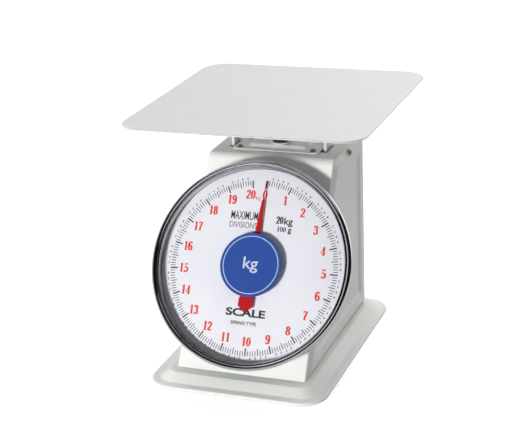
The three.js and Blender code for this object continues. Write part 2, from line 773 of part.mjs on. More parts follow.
// ---------------------------------------------------------------- dial case, dial plate, pointer, lens and bezel
const caseBack = faceZ + GAP;
const caseOutline = [
  [8, caseBack],
  [CASE.r - 2, caseBack],
  [CASE.r, caseBack + 2],
  [CASE.r, CASE.wallTop],
  [CASE.r - 1.2, CASE.wallTop],
  [CASE.r - 1.2, -1 - GAP],
  [CASE.r - 6, -1 - GAP],
  [CASE.r - 6, caseBack + 1.2],
  [8, caseBack + 1.2],
];
add("dial_case", onCase(turned(caseOutline, 56)), zinc);
add("dial_plate", onCase(turned(ring(5, CASE.r - 1.5, -1, 0), 56)), white);

const pointerOutline = [
  [0.45, POINTER.tip],
  [-0.45, POINTER.tip],
  [-1.1, 66],
  [-2.5, 28],
  [-4.5, 4],
  [-4.5, -4],
  [-3, -24],
  [-7.2, -30],
  [-7.2, -38],
  [0, -POINTER.tail],
  [7.2, -38],
  [7.2, -30],
  [3, -24],
  [4.5, -4],
  [4.5, 4],
  [2.5, 28],
  [1.1, 66],
];
const pointer = cut(
  plate(pointerOutline, POINTER.bottom, POINTER.bottom + POINTER.thick),
  rod(SHAFT.r + GAP, 0, 6, 0, 0, 16),
).rotate([0, 0, -zeroMarkDeg]);
add("pointer", onDial(pointer), red);
add(
  "pointer_hub",
  onDial(turned(ring(SHAFT.r + GAP, 3.2, 0.6, POINTER.bottom - GAP), 16)),
  brass,
);

add("centre_disc", onCase(rod(DISC.r, DISC.bottom, DISC.bottom + DISC.thick, 0, 0, 48)), blue);
add("lens", onCase(rod(LENS.r, LENS.bottom, LENS.bottom + LENS.thick, 0, 0, 56)), glass);
const rollR = (BEZEL.outerR - BEZEL.lipR) / 2;
const rollC = (BEZEL.outerR + BEZEL.lipR) / 2;
const lipZ = LENS.bottom + LENS.thick + GAP;
const bezelOutline = [
  [CASE.r + 0.4, -2.5],
  [CASE.r + 1.6, -2.5],
  ...ringArc(rollC, BEZEL.rollZ, rollR, -40, 150, 6),
  [BEZEL.lipR, lipZ],
  [CASE.r + 0.4, lipZ],
];
add("bezel", onCase(turned(bezelOutline, 60)), chrome);

export default scale;
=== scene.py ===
"""Dial platform scale: the finished surfaces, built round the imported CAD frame.

Lengths are millimetres in the row frame (+Z up, -Y towards the reader of the dial); build() turns them
into metres. The dial has its own frame: X right, Y up the inclined face, Z out towards the reader.
"""

import json
import math

import bmesh
import bpy
from mathutils import Matrix, Vector


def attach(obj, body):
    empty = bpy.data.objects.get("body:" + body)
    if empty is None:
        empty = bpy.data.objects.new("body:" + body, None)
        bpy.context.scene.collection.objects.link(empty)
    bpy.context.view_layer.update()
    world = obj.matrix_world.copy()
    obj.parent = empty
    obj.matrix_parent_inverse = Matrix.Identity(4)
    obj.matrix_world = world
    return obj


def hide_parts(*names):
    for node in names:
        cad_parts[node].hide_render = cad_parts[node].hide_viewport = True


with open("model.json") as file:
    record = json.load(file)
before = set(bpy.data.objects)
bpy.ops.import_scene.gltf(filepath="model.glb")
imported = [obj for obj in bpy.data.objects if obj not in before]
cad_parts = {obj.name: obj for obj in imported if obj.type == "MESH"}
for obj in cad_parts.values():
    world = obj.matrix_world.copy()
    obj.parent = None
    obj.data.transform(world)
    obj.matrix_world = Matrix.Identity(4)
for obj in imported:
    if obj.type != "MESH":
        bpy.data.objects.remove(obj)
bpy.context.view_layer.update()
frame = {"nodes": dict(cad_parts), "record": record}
NODES = frame["nodes"]

# ---------------------------------------------------------------- driving dimensions, as in the CAD
MM = 0.001
GAP = 0.3
SHEET = 1.2

PLATFORM = {"half": 120, "corner": 24, "top": 242.8, "thick": 2, "y": 22.7}
BASE = {"half_x": 88.7, "front": -142.7, "back": 100.9, "corner": 25, "lip": 0.3, "top": 10}
BODY = {
    "half_x": 65, "foot_front": -114, "foot": 10.3, "top": 193.3, "back": 84.3, "overhang": 7.6, "bend": 12,
}
LEAN = math.radians(30.4)
FLANGE = 2.6

DIAL_AT = (0, -67.7, 101.2)
FACE_Z = -6.15
CASE = {"r": 95.8, "wall": 7.3, "rise": 1.5}
BEZEL = {"outer": 100.9, "lip": 93.6, "roll_in": 95.5, "roll_z": 8.6}
LENS = {"r": 95.4, "bottom": 7.6, "thick": 2}
DISC = {"r": 30.8, "bottom": 6.7, "thick": 0.6, "ring": (27.3, 28.0)}
POINTER = {"tip": 84, "tail": 44, "tail_foot": -38, "bottom": 2.6, "thick": 0.6}

LOAD_Y = 26
# x of each level of the side panel, then how far each line lies in from the front, back, foot and top
PANEL = {"edge": 62, "step": 64.2, "border": 66.6, "middle": 64.6, "seat": 66.4}
PANEL_RIM = (1.8, 0.2, 0, 1.8)
PANEL_STEP = (3.4, 3.5, 0.4, 3.4)
PANEL_BORDER = (10.5, 9, 4, 9)
PANEL_MIDDLE = (17.5, 19.5, 14.5, 16.7)
SIDE_SCREW = (37.9, 187)
SIDE_HOLES = ((35.1, 177.8, 0.6), (50.6, 177.9, 0.6))
PAD_R = 3.4
REAR_OUT = 84.1
REAR_SCREWS = ((-50, 24), (50, 24), (-50, 178), (50, 178))
MECH = {"half_x": 44.5, "front": 5.7, "back": 47.7, "bottom": 193.6, "top": 194.8}
PLATEAU = {"half_x": 31, "front": 13.5, "back": 39, "rise": 3, "slope": 3}
TOP_SCREWS = ((-38, 11.7), (38, 11.7), (-38, 41.7), (38, 41.7))
SLOT = {"x": 47.2, "half_x": 3.8, "half_y": 11.8, "corner": 1.2}
FEET = ((-55, -108), (55, -108), (-55, 68), (55, 68))
CORNERS = ("front_left", "front_right", "back_left", "back_right")
# head radius, head height, shank radius, shank length
TOP_SCREW = (3.1, 1.9, 1.5, 6)
PANEL_SCREW = (3, 1.6, 1.3, 5)
COVER_SCREW = (3, 1.6, 1.3, 6)
SCREW_HOLE = 1.6
KNOB = {"flutes": 30, "groove": 0.22, "grip_r": 8, "grip_high": 3.4}

# the printed scale
FULL_LOAD = 20
PER_KG = 10
STEP_DEG = 17.5
ZERO_DEG = 2.2
TICK = {"outer": 84.8, "long": 77.3, "middle": 78.4, "short": 80.1}
NUMERAL = {"r": 71, "high": 8.7}
PRINT = 0.05

DIAL = Matrix.Translation(DIAL_AT) @ Matrix.Rotation(math.pi / 2 - LEAN, 4, "X")
ON_CASE = DIAL @ Matrix.Translation((0, CASE["rise"], 0))
UPRIGHT = Matrix.Identity(4)


# ---------------------------------------------------------------- mesh tools
def mix(a, b, t):
    return tuple(x + (y - x) * t for x, y in zip(a, b))


def soften(points, reach, steps=4, closed=False):
    """The same outline with each corner turned into a short curve that starts up to reach away from it."""
    made = []
    for i, corner in enumerate(points):
        if not closed and i in (0, len(points) - 1):
            made.append(tuple(corner))
            continue
        before, after = points[i - 1], points[(i + 1) % len(points)]
        start = mix(corner, before, min(0.45, reach / max(math.dist(corner, before), 1e-6)))
        end = mix(corner, after, min(0.45, reach / max(math.dist(corner, after), 1e-6)))
        for k in range(steps + 1):
            t = k / steps
            made.append(mix(mix(start, corner, t), mix(corner, end, t), t))
    return made


def arc(centre, r, start, end, steps):
    """Points of an arc, in degrees from the first axis."""
    angles = [math.radians(start + (end - start) * k / steps) for k in range(steps + 1)]
    return [(centre[0] + r * math.cos(a), centre[1] + r * math.sin(a)) for a in angles]


def rounded(x0, x1, y0, y1, r, z=None, steps=10):
    corners = ((x1 - r, y0 + r, -90), (x1 - r, y1 - r, 0), (x0 + r, y1 - r, 90), (x0 + r, y0 + r, 180))
    flat = [p for cx, cy, start in corners for p in arc((cx, cy), r, start, start + 90, steps)]
    return flat if z is None else [(x, y, z) for x, y in flat]


def lathe(outline, steps=96, closed=True):
    """An outline of (radius, z) turned about Z."""
    count = len(outline)
    points = []
    for k in range(steps):
        a = 2 * math.pi * k / steps
        points += [(r * math.cos(a), r * math.sin(a), z) for r, z in outline]
    faces = []
    for k in range(steps):
        a, b = k * count, (k + 1) % steps * count
        for i in range(count if closed else count - 1):
            j = (i + 1) % count
            faces.append((a + i, a + j, b + j, b + i))
    return points, faces


def loft(sections, capped=True):
    """A skin through rings of equal point count."""
    count = len(sections[0])
    points = [p for ring in sections for p in ring]
    faces = []
    for s in range(len(sections) - 1):
        a, b = s * count, (s + 1) * count
        faces += [(a + i, a + (i + 1) % count, b + (i + 1) % count, b + i) for i in range(count)]
    if capped:
        faces.append(tuple(reversed(range(count))))
        faces.append(tuple(range(len(points) - count, len(points))))
    return points, faces


def link(name, mesh):
    piece = bpy.data.objects.new(name, mesh)
    bpy.context.scene.collection.objects.link(piece)
    return piece


def settle(mesh, sharp):
    """Merged points, faces out, smooth but for edges sharper than the given angle."""
    work = bmesh.new()
    work.from_mesh(mesh)
    bmesh.ops.remove_doubles(work, verts=work.verts, dist=2e-7)
    bmesh.ops.recalc_face_normals(work, faces=work.faces)
    work.to_mesh(mesh)
    work.free()
    mesh.polygons.foreach_set("use_smooth", [True] * len(mesh.polygons))
    mesh.set_sharp_from_angle(angle=math.radians(sharp))


def raw(name, shape, place=UPRIGHT):
    points, faces = shape
    mesh = bpy.data.meshes.new(name)
    mesh.from_pydata([(place @ Vector(p)) * MM for p in points], [], faces)
    return link(name, mesh)


def cut(piece, *tools):
    """Takes the tool solids out of the piece."""
    for tool in (piece, *tools):
        settle(tool.data, 30)
    for tool in tools:
        hole = piece.modifiers.new("hole", "BOOLEAN")
        hole.operation = "DIFFERENCE"
        hole.solver = "EXACT"
        hole.object = tool
    graph = bpy.context.evaluated_depsgraph_get()
    graph.update()
    mesh = bpy.data.meshes.new_from_object(piece.evaluated_get(graph))
    piece.modifiers.clear()
    piece.data = mesh
    for tool in tools:
        bpy.data.objects.remove(tool)
    return piece


def bevel(piece, width, angle=30, segments=3):
    edge = piece.modifiers.new("edge", "BEVEL")
    edge.width = width * MM
    edge.segments = segments
    edge.limit_method = "ANGLE"
    edge.angle_limit = math.radians(angle)
    edge.harden_normals = True
    edge.use_clamp_overlap = True


def finish_piece(piece, material, body, stands_for=(), sharp=32):
    settle(piece.data, sharp)
    piece.data.materials.clear()
    piece.data.materials.append(material)
    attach(piece, body)
    if stands_for:
        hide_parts(*stands_for)
    return piece


def build(name, shape, material, body="stand", stands_for=(), place=UPRIGHT, sharp=32):
    return finish_piece(raw(name, shape, place), material, body, stands_for, sharp)


def refine(node, name, material, body, edge):
    """The CAD node's own shape with its facets merged and its edges softly rounded."""
    work = bmesh.new()
    work.from_mesh(NODES[node].data)
    bmesh.ops.remove_doubles(work, verts=work.verts, dist=1e-6)
    bmesh.ops.dissolve_limit(work, angle_limit=math.radians(1), verts=work.verts, edges=work.edges)
    mesh = bpy.data.meshes.new(name)
    work.to_mesh(mesh)
    work.free()
    piece = finish_piece(link(name, mesh), material, body, (node,))
    bevel(piece, edge)
    return piece


# ---------------------------------------------------------------- materials
def material(name, colour, rough, metal=0.0, **sockets):
    made = bpy.data.materials.new(name)
    made.use_nodes = True
    shader = made.node_tree.nodes["Principled BSDF"]
    shader.inputs["Base Color"].default_value = (*colour, 1)
    shader.inputs["Roughness"].default_value = rough
    shader.inputs["Metallic"].default_value = metal
    for socket, value in sockets.items():
        shader.inputs[socket.replace("_", " ")].default_value = value
    return made


def noise(made, scale, detail=3, stretch=(1, 1, 1)):
    """A noise value over the surface; scale is features per metre."""
    nodes, links = made.node_tree.nodes, made.node_tree.links
    place = nodes.new("ShaderNodeTexCoord")
    spread = nodes.new("ShaderNodeMapping")
    spread.inputs["Scale"].default_value = stretch
    texture = nodes.new("ShaderNodeTexNoise")
    texture.inputs["Scale"].default_value = scale
    texture.inputs["Detail"].default_value = detail
    links.new(place.outputs["Object"], spread.inputs["Vector"])
    links.new(spread.outputs["Vector"], texture.inputs["Vector"])
    return texture.outputs["Fac"]


def spread_over(made, value, low, high, socket):
    """Feeds the noise to a number socket of the shader, between low and high."""
    nodes, links = made.node_tree.nodes, made.node_tree.links
    span = nodes.new("ShaderNodeMapRange")
    span.inputs["From Min"].default_value = 0.3
    span.inputs["From Max"].default_value = 0.7
    span.inputs["To Min"].default_value = low
    span.inputs["To Max"].default_value = high
    links.new(value, span.inputs["Value"])
    links.new(span.outputs["Result"], nodes["Principled BSDF"].inputs[socket])


def tint(made, value, first, second, low=0.35, high=0.65):
    nodes, links = made.node_tree.nodes, made.node_tree.links
    ramp = nodes.new("ShaderNodeValToRGB")
    ramp.color_ramp.elements[0].position = low
    ramp.color_ramp.elements[1].position = high
    ramp.color_ramp.elements[0].color = (*first, 1)
    ramp.color_ramp.elements[1].color = (*second, 1)
    links.new(value, ramp.inputs["Fac"])
    links.new(ramp.outputs["Color"], nodes["Principled BSDF"].inputs["Base Color"])


def relief(made, value, depth, strength=1.0):
    """Feeds the noise to the surface as height; depth in millimetres."""
    nodes, links = made.node_tree.nodes, made.node_tree.links
    bump = nodes.new("ShaderNodeBump")
    bump.inputs["Strength"].default_value = strength
    bump.inputs["Distance"].default_value = depth * MM
    links.new(value, bump.inputs["Height"])
    links.new(bump.outputs["Normal"], nodes["Principled BSDF"].inputs["Normal"])


def make_enamel():
    made = material("enamel", (0.80, 0.815, 0.785), 0.36, Coat_Weight=0.35, Coat_Roughness=0.12)
    tint(made, noise(made, 9, 2), (0.775, 0.79, 0.755), (0.82, 0.835, 0.805))
    spread_over(made, noise(made, 60, 3), 0.31, 0.42, "Roughness")
    relief(made, noise(made, 420, 2), 0.02, 0.35)
    return made


def make_metal(name, colour, rough, grain, stretch, depth, spread=0.06, mottle=0.05, metal=1.0):
    """Bare or plated sheet: fine directional grain, slightly uneven colour and shine."""
    made = material(name, colour, rough, metal)
    darker = tuple(c * (1 - mottle) for c in colour)
    lighter = tuple(min(1, c * (1 + mottle)) for c in colour)
    tint(made, noise(made, 45, 3), darker, lighter)
    spread_over(made, noise(made, 130, 3), rough - spread, rough + spread, "Roughness")
    relief(made, noise(made, grain, 2, stretch), depth, 0.5)
    return made


def make_print(name, first, second, rough):
    """Printed ink with slightly uneven cover."""
    made = material(name, first, rough)
    tint(made, noise(made, 900, 2), first, second)
    spread_over(made, noise(made, 300, 2), rough - 0.05, rough + 0.08, "Roughness")
    return made


def make_moulded(name, colour, rough, depth, scale):
    made = material(name, colour, rough)
    tint(made, noise(made, 70, 3), tuple(c * 0.85 for c in colour), tuple(c * 1.2 for c in colour))
    spread_over(made, noise(made, 200, 3), rough - 0.06, rough + 0.08, "Roughness")
    relief(made, noise(made, scale, 3), depth, 0.5)
    return made


def make_dial_paper():
    made = material("dial_white", (0.85, 0.84, 0.89), 0.42)
    tint(made, noise(made, 14, 2), (0.83, 0.82, 0.875), (0.865, 0.855, 0.90))
    spread_over(made, noise(made, 80, 3), 0.38, 0.5, "Roughness")
    relief(made, noise(made, 1500, 2), 0.01, 0.2)
    return made


def make_glass():
    """Clear sheet: see-through, with a faint reflection that grows towards grazing angles."""
    made = bpy.data.materials.new("lens_clear")
    made.use_nodes = True
    nodes, links = made.node_tree.nodes, made.node_tree.links
    nodes.remove(nodes["Principled BSDF"])
    clear = nodes.new("ShaderNodeBsdfTransparent")
    clear.inputs["Color"].default_value = (0.985, 0.99, 0.99, 1)
    shine = nodes.new("ShaderNodeBsdfGlossy")
    shine.inputs["Roughness"].default_value = 0.02
    edge = nodes.new("ShaderNodeFresnel")
    edge.inputs["IOR"].default_value = 1.3
    both = nodes.new("ShaderNodeMixShader")
    links.new(edge.outputs["Fac"], both.inputs[0])
    links.new(clear.outputs["BSDF"], both.inputs[1])
    links.new(shine.outputs["BSDF"], both.inputs[2])
    links.new(both.outputs["Shader"], nodes["Material Output"].inputs["Surface"])
    return made


ALONG_X = (0.03, 1, 1)
ENAMEL = make_enamel()
PLATFORM_STEEL = make_metal(
    "platform_steel", (0.79, 0.79, 0.785), 0.32, 1600, ALONG_X, 0.0012, spread=0.03, mottle=0.012, metal=0.55
)
PLATE_STEEL = make_metal("plate_steel", (0.84, 0.85, 0.84), 0.42, 2200, ALONG_X, 0.006, metal=0.35)
POST_STEEL = make_metal("post_steel", (0.80, 0.81, 0.81), 0.36, 2400, (1, 1, 0.03), 0.006, metal=0.4)
ZINC = make_metal("zinc_steel", (0.60, 0.61, 0.63), 0.40, 900, (1, 1, 1), 0.02, 0.08, 0.12)
SPRING_STEEL = make_metal("spring_steel", (0.50, 0.51, 0.53), 0.32, 1800, (1, 1, 1), 0.01)
CHROME = make_metal("chrome", (0.76, 0.77, 0.80), 0.045, 60, (1, 1, 1), 0.002, 0.02, 0.01)
BRASS = make_metal("brass", (0.72, 0.57, 0.30), 0.34, 1500, (1, 1, 1), 0.01)
BRONZE = make_metal("bronze_screw", (0.40, 0.29, 0.18), 0.36, 1400, (1, 1, 1), 0.02, 0.1, 0.25)
BLACK = make_moulded("black_plastic", (0.018, 0.018, 0.018), 0.22, 0.01, 900)
RUBBER = make_moulded("rubber", (0.03, 0.03, 0.03), 0.75, 0.03, 1100)
DIAL_WHITE = make_dial_paper()
DISC_BLUE = make_print("disc_blue", (0.034, 0.088, 0.36), (0.040, 0.098, 0.39), 0.35)
POINTER_RED = make_print("pointer_red", (0.50, 0.012, 0.014), (0.56, 0.016, 0.018), 0.34)
INK_BLACK = make_print("ink_black", (0.030, 0.030, 0.034), (0.05, 0.05, 0.055), 0.5)
INK_RED = make_print("ink_red", (0.76, 0.042, 0.022), (0.80, 0.055, 0.03), 0.5)
# white print on the centre disc; the same white is also the painted highlight set into the zero knob's crown
WHITE_PRINT_AND_GLINT = make_print("white_print_and_glint", (0.66, 0.70, 0.80), (0.72, 0.75, 0.84), 0.5)
LENS_CLEAR = make_glass()

# the CAD nodes that stay as they are
KEPT = {
    "zinc_steel": ZINC,
    "spring_steel": SPRING_STEEL,
    "brass": BRASS,
    "rubber": RUBBER,
}
SLOT_OF = {part["node"]: part["material_slot"] for part in frame["record"]["subparts"]}
for node, piece in NODES.items():
    if SLOT_OF[node] in KEPT:
        piece.data.materials.clear()
        piece.data.materials.append(KEPT[SLOT_OF[node]])


# ---------------------------------------------------------------- base tray and feet
def tray_ring(inset, back_inset, corner, z):
    half = BASE["half_x"] - inset
    return rounded(-half, half, BASE["front"] + inset, BASE["back"] - back_inset, corner, z, 12)


def build_base():
    outer = soften(
        ((1.0, 1.0, 24, 0.3), (0.1, 0.1, 25, 0.7), (0, 0, 25, 2.2), (1, 1, 24, 3.2), (8, 8, 17, 3.6),
         (18, 14, 10.5, 10), (27, 22, 8, 10)),
        1.5, 5,
    )
    inner = soften(
        ((1.2, 1.2, 23.8, 0.3), (1.2, 1.2, 23.8, 1.9), (8.6, 8.6, 17, 2.4), (18.6, 14.6, 9.8, 8.8),
         (27, 22, 8, 8.8)),
        2, 3,
    )
    rings = [tray_ring(*p) for p in reversed(outer)] + [tray_ring(*p) for p in inner]
    build("base_pressing", loft(rings), ENAMEL, "stand", ("base_tray",), sharp=50)
    foot = soften(((0, 0), (7.2, 0), (9, 1.4), (9, 8.5), (0, 8.5)), 0.8, 3)
    dimple = [(0, 1.2), (3, 1.2), (3.4, 0)]
    for tag, (x, y) in zip(CORNERS, FEET):
        shape = lathe(dimple + foot[1:], 48, closed=False)
        place = Matrix.Translation((x, y, 0))
        build("rubber_foot_" + tag, shape, RUBBER, "stand", ("foot_" + tag,), place)


# ---------------------------------------------------------------- body sheets
def wedge(inset, back_inset, foot_inset, top_inset, steps=8):
    """The side view of the body as (y, z): foot front, foot back, top back, then round the bend."""
    top = BODY["top"] - top_inset
    foot = BODY["foot"] + foot_inset

    def back_at(z):
        rise = (z - BODY["foot"]) / (BODY["top"] - BODY["foot"])
        return BODY["back"] + BODY["overhang"] * rise - back_inset

    def front_at(z):
        return BODY["foot_front"] + (z - BODY["foot"]) * math.tan(LEAN) + inset / math.cos(LEAN)

    r = max(BODY["bend"] - inset, 1)
    bend_y = front_at(top) + r * math.tan((math.pi / 2 - LEAN) / 2)
    bend = arc((bend_y, top - r), r, 90, 180 - math.degrees(LEAN), steps)
    return [(front_at(foot), foot), (back_at(foot), foot), (back_at(top), top), *bend]


def shell_path(depth):
    """From the foot of the face, up and round the bend to the back edge, at a depth below the surface."""
    outline = wedge(depth, 0, 0, depth, 12)
    return [outline[0], *reversed(outline[3:]), outline[2]]


def build_housing():
    r = 1.9
    half = BODY["half_x"]
    fold = [(half, FLANGE)] + [(half - r + x, r - y) for x, y in arc((0, 0), r, 0, 90, 7)]
    inside = [(half - SHEET, FLANGE)] + [
        (half - r + x, r - y) for x, y in arc((0, 0), r - SHEET, 0, 90, 7)
    ]
    outer = fold + [(-x, d) for x, d in reversed(fold)]
    inner = inside + [(-x, d) for x, d in reversed(inside)]
    loop = outer + inner[::-1]
    columns = [[(x, y, z) for y, z in shell_path(d)] for x, d in loop]
    rings = [[column[i] for column in columns] for i in range(len(columns[0]))]
    points, faces = loft(rings, capped=False)
    count = len(loop)
    for end in (0, (len(rings) - 1) * count):
        for k in range(len(outer) - 1):
            faces.append((end + k, end + k + 1, end + count - 2 - k, end + count - 1 - k))
    sheet = raw("housing_sheet", (points, faces))
    top = BODY["top"]
    tools = []
    for side in (-1, 1):
        x = side * SLOT["x"]
        ring = rounded(x - SLOT["half_x"], x + SLOT["half_x"], LOAD_Y - SLOT["half_y"],
                       LOAD_Y + SLOT["half_y"], SLOT["corner"], None, 4)
        tools.append(raw("slot", loft([[(*p, top - 5) for p in ring], [(*p, top + 5) for p in ring]])))
    tools.append(raw("hole", lathe([(0, top - 5), (8, top - 5), (8, top + 5), (0, top + 5)], 48)))
    tools[-1].data.transform(Matrix.Translation((0, LOAD_Y * MM, 0)))
    well = [(0, FACE_Z - 6), (9, FACE_Z - 6), (9, FACE_Z + 6), (0, FACE_Z + 6)]
    tools.append(raw("well", lathe(well, 48), DIAL))
    cut(sheet, *tools)
    finish_piece(sheet, ENAMEL, "stand", ("housing_shell",), 35)


def panel_ring(line, extra, x, corner=1.0):
    """A closed line round the side panel, given by how far it lies in from the front, back, foot and top."""
    front, back, foot, top = (inset + extra for inset in line)
    return [(x, y, z) for y, z in soften(wedge(front, back, foot, top, 6), corner, 4, True)]


def build_side_panels():
    """Pressed pans: an edge tucked behind the front sheet, a step out, a raised border, a sunk middle."""
    edge, step, border, middle, seat = (PANEL[k] for k in ("edge", "step", "border", "middle", "seat"))
    back_face = [
        (PANEL_MIDDLE, 3.0, middle - 1, 5), (PANEL_MIDDLE, 0, border - 1, 7),
        (PANEL_BORDER, 0.6, border - 1), (PANEL_STEP, 1, step - 1),
        (PANEL_STEP, 1, edge - 1), (PANEL_RIM, 0, edge - 1),
    ]
    step_out = [
        (PANEL_RIM, 0, edge), (PANEL_STEP, -0.3, edge), (PANEL_STEP, 0, edge + 0.3),
        (PANEL_STEP, 0, step - 0.3), (PANEL_STEP, 0.12, step - 0.08), (PANEL_STEP, 0.4, step + 0.1),
    ]
    raised = [
        (PANEL_BORDER, -0.7, border - 0.30, 2), (PANEL_BORDER, -0.2, border - 0.09, 2),
        (PANEL_BORDER, 0.4, border, 2), (PANEL_MIDDLE, -0.5, border, 6),
        (PANEL_MIDDLE, -0.05, border - 0.07, 6), (PANEL_MIDDLE, 0.5, border - 0.33, 6),
    ]
    sunk = [
        (PANEL_MIDDLE, 2.7, middle + 0.30, 5), (PANEL_MIDDLE, 3.3, middle + 0.06, 5),
        (PANEL_MIDDLE, 4.0, middle, 5),
    ]
    sheet = [panel_ring(*ring) for ring in (*back_face, *step_out, *raised, *sunk)]
    pad = [(0, step - 0.5), (PAD_R, step - 0.5), (PAD_R, seat - 0.2), (PAD_R - 0.2, seat), (0, seat)]
    for side, tag in ((1, "right"), (-1, "left")):
        mirror = Matrix.Diagonal((side, 1, 1, 1))
        panel = raw("side_sheet_" + tag, loft(sheet), mirror)
        tools = []
        for y, z, r in ((*SIDE_SCREW, SCREW_HOLE), *SIDE_HOLES):
            drill = Matrix.Translation((side * border, y, z)) @ Matrix.Rotation(math.pi / 2, 4, "Y")
            tools.append(raw("drill", lathe([(0, -6), (r, -6), (r, 4), (0, 4)], 20), drill))
        cut(panel, *tools)
        finish_piece(panel, ENAMEL, "stand", ("side_panel_" + tag,), 50)
        at_screw = Matrix.Translation((0, *SIDE_SCREW)) @ Matrix.Rotation(side * math.pi / 2, 4, "Y")
        ring = [(max(r, SCREW_HOLE), z) for r, z in pad]
        build("screw_pad_" + tag, lathe(ring, 48), ENAMEL, "stand", (), at_screw)


def build_rear_cover():
    half, foot, top = PANEL["edge"] - 1 - GAP, BODY["foot"] + 0.4, BODY["top"] - SHEET - GAP
    steps = ((0, 0), (0, 0.9), (0.25, 1.15), (0.6, 1.2))
    rings = []
    for inset, rise in steps:
        ring = rounded(-half + inset, half - inset, foot + inset, top - inset, 2, None, 5)
        rings.append([(x, REAR_OUT - SHEET + rise, z) for x, z in ring])
    cover = raw("rear_sheet", loft(rings))
    tools = []
    for x, z in REAR_SCREWS:
        drill = Matrix.Translation((x, REAR_OUT, z)) @ Matrix.Rotation(math.pi / 2, 4, "X")
        tools.append(raw("drill", lathe([(0, -4), (SCREW_HOLE, -4), (SCREW_HOLE, 4), (0, 4)], 20), drill))
    cut(cover, *tools)
    finish_piece(cover, ENAMEL, "stand", ("rear_cover",), 35)


# ---------------------------------------------------------------- screws
def screw_shape(head_r, head_h, shank_r, shank_l):
    dome = soften(
        ((head_r, 0), (head_r, head_h * 0.42), (head_r * 0.72, head_h * 0.9), (0, head_h)), 0.7, 4
    )
    return lathe([(0, -shank_l), (shank_r, -shank_l), (shank_r, 0), *dome], 40, closed=False)


def build_screw(name, size, place, finish, node, turn):
    """A pan-head screw with a cross recess, seated at the place's origin, head along its Z."""
    head_r, head_h = size[:2]
    spin = place @ Matrix.Rotation(math.radians(turn), 4, "Z")
    piece = raw(name, screw_shape(*size), spin)
    tools = []
    for quarter in (0, 90):
        arm = head_r * 0.62
        blade = [
            [(-arm * 0.5, -0.3, head_h * 0.3), (arm * 0.5, -0.3, head_h * 0.3),
             (arm * 0.5, 0.3, head_h * 0.3), (-arm * 0.5, 0.3, head_h * 0.3)],
            [(-arm, -0.42, head_h + 1), (arm, -0.42, head_h + 1),
             (arm, 0.42, head_h + 1), (-arm, 0.42, head_h + 1)],
        ]
        tools.append(raw("blade", loft(blade), spin @ Matrix.Rotation(math.radians(quarter), 4, "Z")))
    cut(piece, *tools)
    finish_piece(piece, finish, "stand", (node,), 30)


def build_screws():
    top = Matrix.Translation((0, 0, MECH["top"] + GAP))
    for k, (tag, (x, y)) in enumerate(zip(CORNERS, TOP_SCREWS)):
        place = top @ Matrix.Translation((x, y, 0))
        build_screw("plate_screw_" + tag, TOP_SCREW, place, BRONZE,
                    "top_screw_" + tag, 20 + 31 * k)
    for side, tag in ((1, "right"), (-1, "left")):
        place = Matrix.Translation((side * (PANEL["seat"] + GAP), *SIDE_SCREW))
        place = place @ Matrix.Rotation(side * math.pi / 2, 4, "Y")
        build_screw("panel_screw_" + tag, PANEL_SCREW, place, BRONZE,
                    "side_screw_" + tag, 35)
    for k, (x, z) in enumerate(REAR_SCREWS):
        tag = ("low_left", "low_right", "high_left", "high_right")[k]
        place = Matrix.Translation((x, REAR_OUT + GAP, z)) @ Matrix.Rotation(-math.pi / 2, 4, "X")
        build_screw("cover_screw_" + tag, COVER_SCREW, place, ZINC,
                    "rear_screw_" + tag, 12 + 27 * k)


# ---------------------------------------------------------------- mechanism plate and zero knob
def plate_ring(inset, z):
    half = MECH["half_x"] - inset
    return rounded(-half, half, MECH["front"] + inset, MECH["back"] - inset, 4 - inset, z, 8)


def plateau_ring(inset, z):
    half = PLATEAU["half_x"] - inset
    return rounded(-half, half, PLATEAU["front"] + inset, PLATEAU["back"] - inset, 2.5, z, 8)


def build_mechanism_plate():
    rise = soften(((-1.5, 0), (0, 0), (PLATEAU["slope"], PLATEAU["rise"]), (5, PLATEAU["rise"])), 1.4, 4)
    under = [plateau_ring(e + 0.8, MECH["bottom"] + z) for e, z in reversed(rise)]
    edge = [plate_ring(0.25, MECH["bottom"]), plate_ring(0, MECH["bottom"] + 0.25),
            plate_ring(0, MECH["top"] - 0.3), plate_ring(0.1, MECH["top"] - 0.1),
            plate_ring(0.3, MECH["top"])]
    over = [plateau_ring(e, MECH["top"] + z) for e, z in rise]
    plate = raw("mechanism_pressing", loft(under + edge + over))
    holes = [(0, LOAD_Y, 3.4, 28), (-14, LOAD_Y + 4, 1.5, 28), (14, LOAD_Y + 4, 1.5, 28)]
    holes += [(x, y, 1.9, 24) for x, y in TOP_SCREWS]
    below, above = 190, 204
    tools = []
    for x, y, r, steps in holes:
        drill = lathe([(0, below), (r, below), (r, above), (0, above)], steps)
        tools.append(raw("drill", drill, Matrix.Translation((x, y, 0))))
    cut(plate, *tools)
    finish_piece(plate, PLATE_STEEL, "stand", ("mechanism_plate",), 35)


